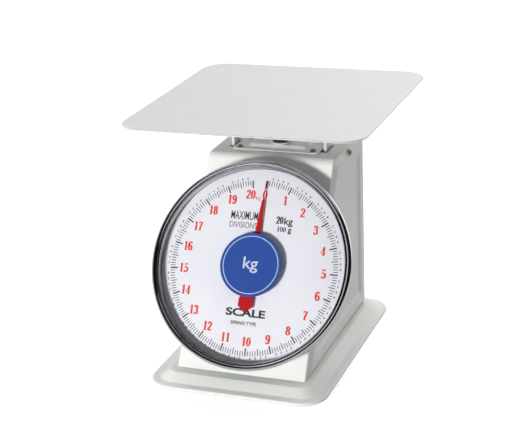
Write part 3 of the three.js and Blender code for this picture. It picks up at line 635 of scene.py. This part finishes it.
def build_zero_knob():
    axis = Matrix.Translation((0, LOAD_Y, 0))
    low = MECH["top"] + PLATEAU["rise"] + GAP
    ring = soften(((3.6, low), (10.5, low), (10.5, low + 1), (3.6, low + 1)), 0.3, 3, True)
    build("zero_washer_ring", lathe(ring, 64), PLATE_STEEL, "stand", ("zero_washer",), axis)
    bottom = low + 1 + GAP
    outline = [(0, 4.6), (3, 4.6), (3, 0), (8.1, 0), (8.5, 0.5), (8.5, 3), (7.7, 5), (5.2, 6.5), (2, 7),
               (1.6, 6.6), (0, 6.6)]
    outline = [(r, z + bottom) for r, z in soften(outline, 0.8, 3)]
    points, faces = lathe(outline, 120, closed=False)
    fluted = []
    for x, y, z in points:
        r = math.hypot(x, y)
        on_grip = r > KNOB["grip_r"] and z < bottom + KNOB["grip_high"]
        flute = max(0.0, math.cos(KNOB["flutes"] * math.atan2(y, x)))
        groove = KNOB["groove"] * flute if on_grip else 0.0
        share = 1 - groove / max(r, 1)
        fluted.append((x * share, y * share, z))
    build("zero_knob_cap", (fluted, faces), BLACK, "zero_knob", ("zero_knob",), axis)
    # painted highlight: a pale disc set in the recess at the crown of the knob, standing in for the bright
    # spot that light makes on the glossy black dome
    dot = [(0, bottom + 6.75), (1.5, bottom + 6.75), (1.5, bottom + 6.62), (0, bottom + 6.62)]
    build("zero_knob_painted_glint", lathe(dot, 32, closed=False), WHITE_PRINT_AND_GLINT, "zero_knob", (), axis)


# ---------------------------------------------------------------- platform, posts and spider
def build_platform():
    p = PLATFORM
    low, high = p["top"] - p["thick"], p["top"]
    edge = soften(((3, low), (0, low), (0, high), (3, high)), 0.75, 5)
    rings = []
    for inset, z in edge:
        half = p["half"] - inset
        rings.append(rounded(-half, half, p["y"] - half, p["y"] + half, p["corner"] - inset, z, 20))
    build("platform_sheet", loft(rings), PLATFORM_STEEL, "load_carriage",
          ("weighing_platform",), sharp=50)
    for tag in ("left", "right"):
        refine("platform_post_" + tag, "post_strip_" + tag, POST_STEEL, "load_carriage",
               0.35)
    refine("platform_spider", "spider_cross", ZINC, "load_carriage", 0.5)


# ---------------------------------------------------------------- dial case, bezel and lens
def build_case():
    back = FACE_Z + GAP
    r = CASE["r"]
    outline = soften(
        ((8, back), (r - 1, back), (r, back + 1), (r, CASE["wall"]), (r - 1.2, CASE["wall"]),
         (r - 1.2, -1.3), (r - 6, -1.3), (r - 6, back + 1.2), (8, back + 1.2)),
        0.5, 3, True,
    )
    build("case_drum", lathe(outline, 160), ZINC, "stand", ("dial_case",), ON_CASE)
    ring = soften(((5, -1), (r - 1.5, -1), (r - 1.5, 0), (5, 0)), 0.15, 2, True)
    build("dial_sheet", lathe(ring, 160), DIAL_WHITE, "stand", ("dial_plate",), ON_CASE)

    lip, outer = BEZEL["lip"], BEZEL["outer"]
    seat = LENS["bottom"] + LENS["thick"] + GAP
    centre = ((outer + BEZEL["roll_in"]) / 2, BEZEL["roll_z"] + 0.25)
    roll_r = (outer - BEZEL["roll_in"]) / 2
    roll = [(r, centre[1] + (z - centre[1]) * 1.25) for r, z in arc(centre, roll_r, -35, 172, 26)]
    step = [(95.2, seat + 0.55), (94.9, seat + 0.55), (94.5, seat + 0.9), (lip + 0.25, seat + 0.55),
            (lip, seat)]
    skirt = [(r + 0.4, seat), (r + 0.4, -2.5), (r + 1.6, -2.5), (r + 1.9, -1.5), (r + 1.9, 3.5)]
    outline = skirt + roll + soften(step, 0.3, 3)
    build("bezel_ring", lathe(outline, 240), CHROME, "stand", ("bezel",), ON_CASE, 40)

    low, high = LENS["bottom"], LENS["bottom"] + LENS["thick"]
    pane = [(0, low), (LENS["r"] - 0.3, low), (LENS["r"], low + 0.3), (LENS["r"], high - 0.3),
            (LENS["r"] - 0.3, high), (0, high)]
    build("lens_pane", lathe(pane, 160, closed=False), LENS_CLEAR, "stand",
          ("lens",), ON_CASE)


# ---------------------------------------------------------------- print on the dial
# Numerals on a cell 0.5 wide and 1 high, drawn with a broad pen: curves as points, straight bars as
# two ends and a width, balls as a centre and a radius, loops as a centre and two radii.
THICK, THIN = 0.22, 0.09
SIX = [(0.40, 0.83), (0.33, 0.94), (0.24, 0.96), (0.13, 0.82), (0.09, 0.5), (0.12, 0.2), (0.25, 0.04),
       (0.38, 0.14), (0.41, 0.32), (0.36, 0.5), (0.26, 0.57), (0.14, 0.48)]
NUMERALS = {
    "0": {"loops": [(0.25, 0.5, 0.155, 0.455)]},
    "1": {"bars": [(0.27, 0, 0.27, 1, THICK), (0.1, 0.03, 0.44, 0.03, 0.06),
                   (0.27, 0.95, 0.11, 0.84, 0.09)]},
    "2": {
        "curves": [[(0.11, 0.76), (0.14, 0.9), (0.25, 0.96), (0.37, 0.87), (0.39, 0.7),
                    (0.3, 0.46), (0.17, 0.26), (0.08, 0.08)]],
        "bars": [(0.05, 0.07, 0.44, 0.07, 0.14), (0.44, 0.04, 0.455, 0.26, 0.05)],
        "balls": [(0.125, 0.75, 0.075)],
    },
    "3": {
        "curves": [[(0.1, 0.8), (0.15, 0.93), (0.26, 0.96), (0.36, 0.86), (0.35, 0.66), (0.26, 0.54),
                    (0.18, 0.53)],
                   [(0.18, 0.53), (0.31, 0.5), (0.39, 0.36), (0.38, 0.16), (0.26, 0.04), (0.14, 0.07),
                    (0.08, 0.2)]],
        "balls": [(0.12, 0.79, 0.07), (0.105, 0.21, 0.07)],
    },
    "4": {"bars": [(0.345, 0, 0.345, 1, THICK), (0.35, 0.97, 0.05, 0.3, 0.075),
                   (0.02, 0.28, 0.49, 0.28, 0.075), (0.2, 0.03, 0.48, 0.03, 0.06)]},
    "5": {
        "curves": [[(0.12, 0.52), (0.2, 0.61), (0.3, 0.6), (0.4, 0.46), (0.4, 0.22), (0.28, 0.05),
                    (0.15, 0.06), (0.085, 0.19)]],
        "bars": [(0.1, 0.925, 0.42, 0.925, 0.15), (0.125, 0.96, 0.12, 0.5, 0.06)],
        "balls": [(0.11, 0.2, 0.07)],
    },
    "6": {"curves": [SIX], "balls": [(0.385, 0.82, 0.065)]},
    "7": {
        "curves": [[(0.42, 0.9), (0.33, 0.66), (0.25, 0.42), (0.22, 0.2), (0.225, 0.0)]],
        "bars": [(0.05, 0.925, 0.46, 0.925, 0.15), (0.07, 0.97, 0.05, 0.74, 0.05)],
    },
    "8": {"loops": [(0.25, 0.745, 0.135, 0.21), (0.25, 0.275, 0.16, 0.235)]},
    "9": {"curves": [[(0.5 - x, 1 - y) for x, y in SIX]], "balls": [(0.115, 0.18, 0.065)]},
}


def smooth_path(points, steps=7):
    """A Catmull-Rom curve through the points."""
    count = len(points)
    made = []
    for i in range(count - 1):
        at = [points[min(max(i + k, 0), count - 1)] for k in (-1, 0, 1, 2)]
        for step in range(steps):
            t = step / steps
            made.append(tuple(
                0.5 * (2 * b + (c - a) * t + (2 * a - 5 * b + 4 * c - d) * t * t
                       + (3 * b - a - 3 * c + d) * t**3)
                for a, b, c, d in zip(*at)
            ))
    return [*made, points[-1]]


class Ink:
    """Thin printed shapes gathered into one mesh in the dial's frame."""

    def __init__(self):
        self.points, self.faces, self.layer = [], [], 0

    def slab(self, left, right, closed=False):
        """A closed slab between two edges given as lists of (x, y)."""
        self.layer += 1
        top = PRINT + 0.0004 * (self.layer % 9)
        start, count = len(self.points), len(left)
        for (ax, ay), (bx, by) in zip(left, right):
            self.points += [(ax, ay, top), (bx, by, top), (bx, by, -0.02), (ax, ay, -0.02)]
        for i in range(count if closed else count - 1):
            a, b = start + 4 * i, start + 4 * ((i + 1) % count)
            self.faces += [(a + k, a + (k + 1) % 4, b + (k + 1) % 4, b + k) for k in range(4)]
        if not closed:
            last = start + 4 * (count - 1)
            self.faces += [(start + 3, start + 2, start + 1, start), (last, last + 1, last + 2, last + 3)]

    def bar(self, x0, y0, x1, y1, width):
        length = math.dist((x0, y0), (x1, y1))
        nx, ny = -(y1 - y0) / length * width / 2, (x1 - x0) / length * width / 2
        self.slab([(x0 + nx, y0 + ny), (x1 + nx, y1 + ny)], [(x0 - nx, y0 - ny), (x1 - nx, y1 - ny)])

    def disc(self, x, y, r):
        rows = [math.radians(a) for a in range(-80, 81, 20)]
        left = [(x - r * math.cos(a), y + r * math.sin(a)) for a in rows]
        self.slab(left, [(2 * x - px, py) for px, py in left])

    def ring(self, x, y, inner, outer, steps=96):
        angles = [2 * math.pi * k / steps for k in range(steps)]
        hole, rim = (
            [(x + rx * math.cos(a), y + ry * math.sin(a)) for a in angles] for rx, ry in (inner, outer)
        )
        self.slab(rim, hole, closed=True)

    def stroke(self, path, thick, thin):
        """A pen line that is thick where it runs up or down the sheet and thin where it runs across."""
        left, right = [], []
        for i, (x, y) in enumerate(path):
            ax, ay = path[max(i - 1, 0)]
            bx, by = path[min(i + 1, len(path) - 1)]
            length = max(math.hypot(bx - ax, by - ay), 1e-9)
            nx, ny = -(by - ay) / length, (bx - ax) / length
            half = (thin + (thick - thin) * abs(nx) ** 1.6) / 2
            left.append((x + nx * half, y + ny * half))
            right.append((x - nx * half, y - ny * half))
        self.slab(left, right)

    def numeral(self, text, x, y, high, squeeze=1.0, slope=0.0):
        """Digits centred on (x, y)."""
        pitch = 0.50 * squeeze
        start = x - pitch * high * len(text) / 2

        def at(column, px, py):
            v = (py - 0.5) * high
            return start + (column * pitch + px * squeeze) * high + slope * v, y + v

        for column, digit in enumerate(text):
            shape = NUMERALS[digit]
            for curve in shape.get("curves", ()):
                path = [at(column, px, py) for px, py in smooth_path(curve)]
                self.stroke(path, THICK * high, THIN * high)
            for x0, y0, x1, y1, width in shape.get("bars", ()):
                self.bar(*at(column, x0, y0), *at(column, x1, y1), width * high)
            for cx, cy, r in shape.get("balls", ()):
                self.disc(*at(column, cx, cy), r * high)
            for cx, cy, rx, ry in shape.get("loops", ()):
                mx, my = at(column, cx, cy)
                inner = ((rx * squeeze - THICK / 2) * high, (ry - THIN / 2) * high)
                outer = ((rx * squeeze + THICK / 2) * high, (ry + THIN / 2) * high)
                self.ring(mx, my, inner, outer, 40)

    def word(self, text, x0, x1, y0, y1, weight=0.0):
        """A word set to fill the box from (x0, y0) to (x1, y1)."""
        curve = bpy.data.curves.new("word", "FONT")
        curve.body = text
        curve.offset = weight
        curve.resolution_u = 6
        holder = link("word", curve)
        graph = bpy.context.evaluated_depsgraph_get()
        graph.update()
        mesh = bpy.data.meshes.new_from_object(holder.evaluated_get(graph))
        xs = [v.co.x for v in mesh.vertices]
        ys = [v.co.y for v in mesh.vertices]
        sx, sy = (x1 - x0) / (max(xs) - min(xs)), (y1 - y0) / (max(ys) - min(ys))
        start = len(self.points)
        self.points += [
            (x0 + (v.co.x - min(xs)) * sx, y0 + (v.co.y - min(ys)) * sy, PRINT) for v in mesh.vertices
        ]
        self.faces += [tuple(start + i for i in face.vertices) for face in mesh.polygons]
        bpy.data.objects.remove(holder)
        bpy.data.meshes.remove(mesh)

    def build(self, name, material, place=DIAL):
        return build(name, (self.points, self.faces), material, "stand", (), place, 30)


def around(r, degrees):
    """A point of the dial at a clockwise angle from straight up."""
    a = math.radians(degrees)
    return r * math.sin(a), r * math.cos(a)


def build_dial_print():
    ticks, fine, numerals, words = Ink(), Ink(), Ink(), Ink()
    for k in range(FULL_LOAD * PER_KG + 1):
        angle = ZERO_DEG + STEP_DEG * k / PER_KG
        if k % PER_KG == 0:
            ticks.bar(*around(TICK["long"], angle), *around(TICK["outer"], angle), 1.3)
            label = str(k // PER_KG)
            shift = {0: 0.0, FULL_LOAD: -2.2}.get(k // PER_KG, 0.0)
            x, y = around(NUMERAL["r"], angle)
            numerals.numeral(label, x + shift, y, NUMERAL["high"], 1.08 if len(label) > 1 else 1.14)
        elif k % 5 == 0:
            ticks.bar(*around(TICK["middle"], angle), *around(TICK["outer"], angle), 0.78)
        else:
            ticks.bar(*around(TICK["short"], angle), *around(TICK["outer"], angle), 0.66)
        if k % 2 == 0 and k % PER_KG:
            fine.numeral(str(k % PER_KG), *around(87.0, angle), 2.3, 1.3)
    numerals.build("dial_numerals", INK_RED)
    ticks.build("dial_ticks", INK_BLACK)
    fine.build("dial_fine_numerals", INK_BLACK)
    words.word("MAXIMUM", -29.2, -1.6, 45.4, 53.6, 0.008)
    words.word("DIVISIONS", -29.6, -1.6, 37.4, 43.0, -0.004)
    words.numeral("20", 21.0, 47.6, 7.2, 1.0)
    words.word("kg", 25.4, 34.2, 41.6, 50.6, 0.02)
    words.numeral("100", 23.6, 38.9, 4.9, 1.3)
    words.word("g", 30.2, 33.8, 34.8, 40.2, 0.03)
    words.word("SCALE", -21, 19, -47.6, -40, 0.035)
    words.word("SPRING TYPE", -15, 11, -55.6, -52.2, 0.02)
    words.build("dial_words", INK_BLACK)
    unit = Ink()
    unit.word("kg", -6.0, -1.4, 64.6, 68.8, 0.0)
    unit.build("dial_unit", INK_RED)


# ---------------------------------------------------------------- pointer and centre disc
def build_pointer():
    low = POINTER["bottom"]
    high = low + POINTER["thick"]
    foot = POINTER["tail_foot"]
    half = [(0.45, POINTER["tip"]), (0.5, 66), (1.35, 64.5), (2.9, 30), (4.5, 4), (4.5, -4), (3, -24),
            (7.4, -30), (7.4, foot), (0, -POINTER["tail"])]
    outline = half + [(-x, y) for x, y in reversed(half[:-1])]

    def ring(inset, z):
        made = []
        for x, y in outline:
            share = max(0.0, 1 - inset / max(abs(x), 0.3)) if abs(x) > 0 else 0
            end = inset if y >= POINTER["tip"] else (-inset if y <= foot and x == 0 else 0)
            made.append((x * share, y - end, z))
        return made

    rings = [ring(0.05, low), ring(0, low + 0.1), ring(0, high - 0.15), ring(0.12, high)]
    blade = raw("pointer_blade", loft(rings), DIAL @ Matrix.Rotation(-math.radians(ZERO_DEG), 4, "Z"))
    eye = raw("eye", lathe([(0, 0), (1.5, 0), (1.5, 6), (0, 6)], 32), DIAL)
    cut(blade, eye)
    finish_piece(blade, POINTER_RED, "pointer_train", ("pointer",), 30)
    hub = soften(((1.5, 0.6), (3.2, 0.6), (3.2, low - GAP), (1.5, low - GAP)), 0.25, 3, True)
    build("pointer_boss", lathe(hub, 48), BRASS, "pointer_train", ("pointer_hub",), DIAL)


def build_disc():
    low, high = DISC["bottom"], DISC["bottom"] + DISC["thick"]
    r = DISC["r"]
    outline = [(0, low), (r - 0.1, low), (r, low + 0.1), (r, high - 0.2), (r - 0.2, high), (0, high)]
    build("centre_disc_sheet", lathe(outline, 128, closed=False), DISC_BLUE, "stand",
          ("centre_disc",), ON_CASE)
    mark = Ink()
    inner, outer = DISC["ring"]
    mark.ring(0, 0, (inner, inner), (outer, outer), 128)
    mark.word("kg", -7.5, 7.5, -7.5, 7.5, 0.01)
    mark.build("disc_print", WHITE_PRINT_AND_GLINT, ON_CASE @ Matrix.Translation((0, 0, high)))


build_base()
build_housing()
build_side_panels()
build_rear_cover()
build_screws()
build_mechanism_plate()
build_zero_knob()
build_platform()
build_case()
build_dial_print()
build_pointer()
build_disc()


# ---------------------------------------------------------------- floor, light and camera
def build_floor():
    """A wide pale sweep that the object stands on."""
    half = 9000
    rim = [(-half, -half), (half, -half), (half, half), (-half, half)]
    floor = raw("floor", ([(x, y, -0.02) for x, y in rim], [(0, 1, 2, 3)]))
    paper = material("floor_paper", (0.86, 0.86, 0.86), 0.9)
    tint(paper, noise(paper, 3, 2), (0.64, 0.64, 0.64), (0.65, 0.65, 0.65))
    glow = paper.node_tree.nodes["Principled BSDF"].inputs
    glow["Emission Color"].default_value = (1, 1, 1, 1)
    ray = paper.node_tree.nodes.new("ShaderNodeLightPath")
    lift = paper.node_tree.nodes.new("ShaderNodeMapRange")
    lift.inputs["To Min"].default_value = 0.0
    lift.inputs["To Max"].default_value = 0.62
    paper.node_tree.links.new(ray.outputs["Is Camera Ray"], lift.inputs["Value"])
    paper.node_tree.links.new(lift.outputs["Result"], glow["Emission Strength"])
    floor.data.materials.append(paper)


def soft_light(name, at, target, size, power, colour=(1, 1, 1)):
    lamp = bpy.data.lights.new(name, "AREA")
    lamp.shape = "RECTANGLE"
    lamp.size, lamp.size_y = size
    lamp.energy = power
    lamp.color = colour
    holder = link(name, lamp)
    holder.location = at
    holder.rotation_euler = (Vector(target) - Vector(at)).to_track_quat("-Z", "Y").to_euler()
    return holder


def build_world():
    """A light tent: pale all round but for a dim opening on the reader's side, and plain pale to the eye."""
    world = bpy.data.worlds.new("studio")
    bpy.context.scene.world = world
    world.use_nodes = True
    nodes, links = world.node_tree.nodes, world.node_tree.links
    nodes.clear()
    place = nodes.new("ShaderNodeTexCoord")
    opening = nodes.new("ShaderNodeVectorMath")
    opening.operation = "DOT_PRODUCT"
    opening.inputs[1].default_value = Vector((0.38, -0.82, 0.42)).normalized()
    axes = nodes.new("ShaderNodeSeparateXYZ")
    links.new(place.outputs["Generated"], opening.inputs[0])
    links.new(place.outputs["Generated"], axes.inputs["Vector"])

    def span(value, start, end, first, last):
        """A smooth step of a value from one level to another."""
        step = nodes.new("ShaderNodeMapRange")
        step.interpolation_type = "SMOOTHSTEP"
        step.inputs["From Min"].default_value = start
        step.inputs["From Max"].default_value = end
        step.inputs["To Min"].default_value = first
        step.inputs["To Max"].default_value = last
        links.new(value, step.inputs["Value"])
        return step.outputs["Result"]

    def join(operation, first, second):
        result = nodes.new("ShaderNodeMath")
        result.operation = operation
        links.new(first, result.inputs[0])
        links.new(second, result.inputs[1])
        return result.outputs["Value"]

    ray = nodes.new("ShaderNodeLightPath")
    tent = join("MULTIPLY", span(opening.outputs["Value"], -0.2, 0.7, 0.95, 0.13),
                span(axes.outputs["X"], -0.75, 0.05, 0.5, 1.3))
    left = span(axes.outputs["X"], -0.9, -0.28, 1.6, 0.04)
    behind = span(axes.outputs["Y"], 0.1, 0.6, 0.0, 1.0)
    mirrored = join("MAXIMUM", left, behind)
    dull = nodes.new("ShaderNodeMix")
    dull.data_type = "FLOAT"
    links.new(ray.outputs["Is Glossy Ray"], dull.inputs[0])
    links.new(span(axes.outputs["Z"], 0.0, 0.8, 0.35, 1.5), dull.inputs[2])
    links.new(mirrored, dull.inputs[3])
    unseen = nodes.new("ShaderNodeBackground")
    links.new(join("MULTIPLY", tent, dull.outputs[0]), unseen.inputs["Color"])
    seen = nodes.new("ShaderNodeBackground")
    seen.inputs["Color"].default_value = (1, 1, 1, 1)
    either = nodes.new("ShaderNodeMixShader")
    links.new(ray.outputs["Is Camera Ray"], either.inputs[0])
    links.new(unseen.outputs["Background"], either.inputs[1])
    links.new(seen.outputs["Background"], either.inputs[2])
    out = nodes.new("ShaderNodeOutputWorld")
    links.new(either.outputs["Shader"], out.inputs["Surface"])


def build_camera():
    azimuth, elevation, roll = (math.radians(a) for a in (21.77, 20.74, -3.14))
    focal_px, frame_px, sensor = 1399.56, 512, 36
    back = Vector((math.sin(azimuth) * math.cos(elevation), -math.cos(azimuth) * math.cos(elevation),
                   math.sin(elevation)))
    right = (-back).cross(Vector((0, 0, 1))).normalized()
    up = right.cross(-back)
    x = right * math.cos(roll) + up * math.sin(roll)
    y = up * math.cos(roll) - right * math.sin(roll)
    view = bpy.data.cameras.new("view")
    view.sensor_fit = "HORIZONTAL"
    view.sensor_width = sensor
    view.lens = focal_px / frame_px * sensor
    view.clip_start, view.clip_end = 0.02, 40
    holder = link("view", view)
    turn = Matrix((x, y, back)).transposed().to_4x4()
    holder.matrix_world = Matrix.Translation((0.46257, -1.21058, 0.61783)) @ turn
    bpy.context.scene.camera = holder


build_floor()
key = soft_light("front_key", (-0.78, -2.45, 0.27), (0, -0.06, 0.11), (0.5, 0.42), 67)
key.visible_glossy = False
soft_light("left_soft", (-1.3, 0.9, 2.1), (0, -0.05, 0.1), (1.8, 1.8), 9)
behind = soft_light("behind_soft", (0.3, 2.0, 1.7), (0.08, 0, 0), (1.6, 1.2), 14)
behind.visible_glossy = False
build_world()
build_camera()
bpy.context.scene.view_settings.view_transform = "Standard"
bpy.context.scene.view_settings.look = "None"
